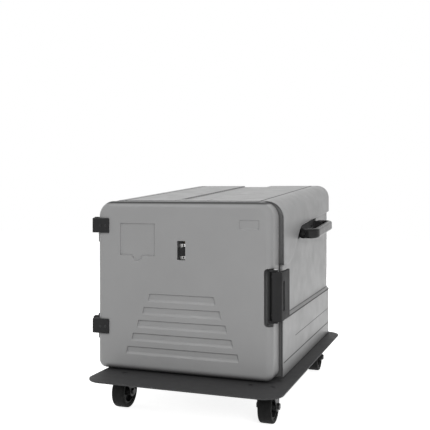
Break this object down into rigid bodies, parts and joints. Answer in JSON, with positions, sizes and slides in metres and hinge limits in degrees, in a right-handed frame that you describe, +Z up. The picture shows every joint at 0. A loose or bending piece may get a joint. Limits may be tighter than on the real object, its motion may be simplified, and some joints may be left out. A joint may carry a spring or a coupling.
{
  "type": "insulated food carrier",
  "caption": "Front-loading insulated food carrier with a ribbed swing door, side latch, vent and bail handles, on a flat caster dolly.",
  "frame": {"origin": "on the floor, below the middle of the dolly's length, on the carrier's centre line", "axes": "+Z up, +Y from the door to the back, +X to the latch side"},
  "size_m": [0.56, 0.764, 0.5549],
  "materials": {
    "deck": "fine textured dark grey powder coat",
    "black_steel": "satin black coat",
    "zinc": "zinc plated",
    "stainless": "brushed stainless steel",
    "shell_plastic": "slate grey rotomoulded polyethylene, fine orange peel",
    "liner_plastic": "slate grey polyethylene, smooth satin",
    "foam": "rigid polyurethane foam",
    "black_plastic": "satin moulded nylon",
    "black_gloss": "polished moulded nylon",
    "gasket_rubber": "soft matt seal",
    "stud_rubber": "hard matt rubber",
    "vent_metal": "bright brushed steel",
    "hub_plastic": "satin moulded polyamide",
    "tread_rubber": "matt black rubber"
  },
  "bodies": {
    "dolly": {"deck_plate": "deck", "locating_studs": "stud_rubber", "caster_bolts": "black_steel", "caster_nuts": "zinc", "caster_plate_front_left": "black_steel", "caster_plate_front_right": "black_steel", "caster_plate_rear_left": "black_steel", "caster_plate_rear_right": "black_steel"},
    "carrier": {"outer_shell": "shell_plastic", "insulation": "foam", "inner_liner": "liner_plastic", "pan_rail_left": "liner_plastic", "pan_rail_right": "liner_plastic", "hinge_body_leaf_lower": "black_plastic", "hinge_body_leaf_upper": "black_plastic", "hinge_pins": "black_steel", "body_screws": "black_steel", "latch_keeper": "stainless", "handle_bracket_left": "black_plastic", "handle_bracket_right": "black_plastic", "handle_pins_left": "stainless", "handle_pins_right": "stainless"},
    "door": {"door_skin": "shell_plastic", "door_insulation": "foam", "door_liner": "liner_plastic", "door_gasket": "gasket_rubber", "hinge_door_leaf_lower": "black_plastic", "hinge_door_leaf_upper": "black_plastic", "door_screws": "black_steel", "vent_plate": "vent_metal", "latch_base": "black_plastic", "latch_pin": "stainless"},
    "latch": {"latch_lever": "black_plastic"},
    "vent": {"vent_slider": "black_gloss"},
    "handle_left_bail": {"handle_left": "black_gloss"},
    "handle_right_bail": {"handle_right": "black_gloss"},
    "swivel_front_left": {"caster_fork_front_left": "black_steel", "caster_axle_front_left": "zinc"},
    "wheel_front_left": {"wheel_hub_front_left": "hub_plastic", "wheel_tyre_front_left": "tread_rubber"},
    "swivel_front_right": {"caster_fork_front_right": "black_steel", "caster_axle_front_right": "zinc"},
    "wheel_front_right": {"wheel_hub_front_right": "hub_plastic", "wheel_tyre_front_right": "tread_rubber"},
    "swivel_rear_left": {"caster_fork_rear_left": "black_steel", "caster_axle_rear_left": "zinc"},
    "wheel_rear_left": {"wheel_hub_rear_left": "hub_plastic", "wheel_tyre_rear_left": "tread_rubber"},
    "swivel_rear_right": {"caster_fork_rear_right": "black_steel", "caster_axle_rear_right": "zinc"},
    "wheel_rear_right": {"wheel_hub_rear_right": "hub_plastic", "wheel_tyre_rear_right": "tread_rubber"}
  },
  "joints": [
    {"name": "swivel_turn_front_left", "type": "hinge", "parent": "dolly", "child": "swivel_front_left", "pos_m": [-0.168, -0.26, 0.0886], "axis": [0, 0, 1], "continuous": true},
    {"name": "wheel_roll_front_left", "type": "hinge", "parent": "swivel_front_left", "child": "wheel_front_left", "pos_m": [-0.168, -0.233, 0.04], "axis": [1, 0, 0], "continuous": true},
    {"name": "swivel_turn_front_right", "type": "hinge", "parent": "dolly", "child": "swivel_front_right", "pos_m": [0.204, -0.26, 0.0886], "axis": [0, 0, 1], "continuous": true},
    {"name": "wheel_roll_front_right", "type": "hinge", "parent": "swivel_front_right", "child": "wheel_front_right", "pos_m": [0.204, -0.233, 0.04], "axis": [1, 0, 0], "continuous": true},
    {"name": "swivel_turn_rear_left", "type": "hinge", "parent": "dolly", "child": "swivel_rear_left", "pos_m": [-0.168, 0.26, 0.0886], "axis": [0, 0, 1], "continuous": true},
    {"name": "wheel_roll_rear_left", "type": "hinge", "parent": "swivel_rear_left", "child": "wheel_rear_left", "pos_m": [-0.168, 0.287, 0.04], "axis": [1, 0, 0], "continuous": true},
    {"name": "swivel_turn_rear_right", "type": "hinge", "parent": "dolly", "child": "swivel_rear_right", "pos_m": [0.204, 0.26, 0.0886], "axis": [0, 0, 1], "continuous": true},
    {"name": "wheel_roll_rear_right", "type": "hinge", "parent": "swivel_rear_right", "child": "wheel_rear_right", "pos_m": [0.204, 0.287, 0.04], "axis": [1, 0, 0], "continuous": true},
    {"name": "carrier_lift", "type": "slide", "parent": "dolly", "child": "carrier", "axis": [0, 0, 1], "range_m": [0, 0.12]},
    {"name": "door_hinge", "type": "hinge", "parent": "carrier", "child": "door", "pos_m": [-0.241, -0.243, 0.299], "axis": [0, 0, 1], "range_deg": [-180, 0]},
    {"name": "latch_pivot", "type": "hinge", "parent": "door", "child": "latch", "pos_m": [0.23, -0.2665, 0.299], "axis": [0, 0, 1], "range_deg": [-80, 0]},
    {"name": "vent_slide", "type": "slide", "parent": "door", "child": "vent", "axis": [0, 0, 1], "range_m": [0, 0.007]},
    {"name": "handle_swing_left", "type": "hinge", "parent": "carrier", "child": "handle_left_bail", "pos_m": [-0.2415, 0.076, 0.436], "axis": [0, -0.9977, -0.068], "range_deg": [-8, 85]},
    {"name": "handle_swing_right", "type": "hinge", "parent": "carrier", "child": "handle_right_bail", "pos_m": [0.2415, 0.076, 0.436], "axis": [0, 0.9977, 0.068], "range_deg": [-8, 85]}
  ]
}
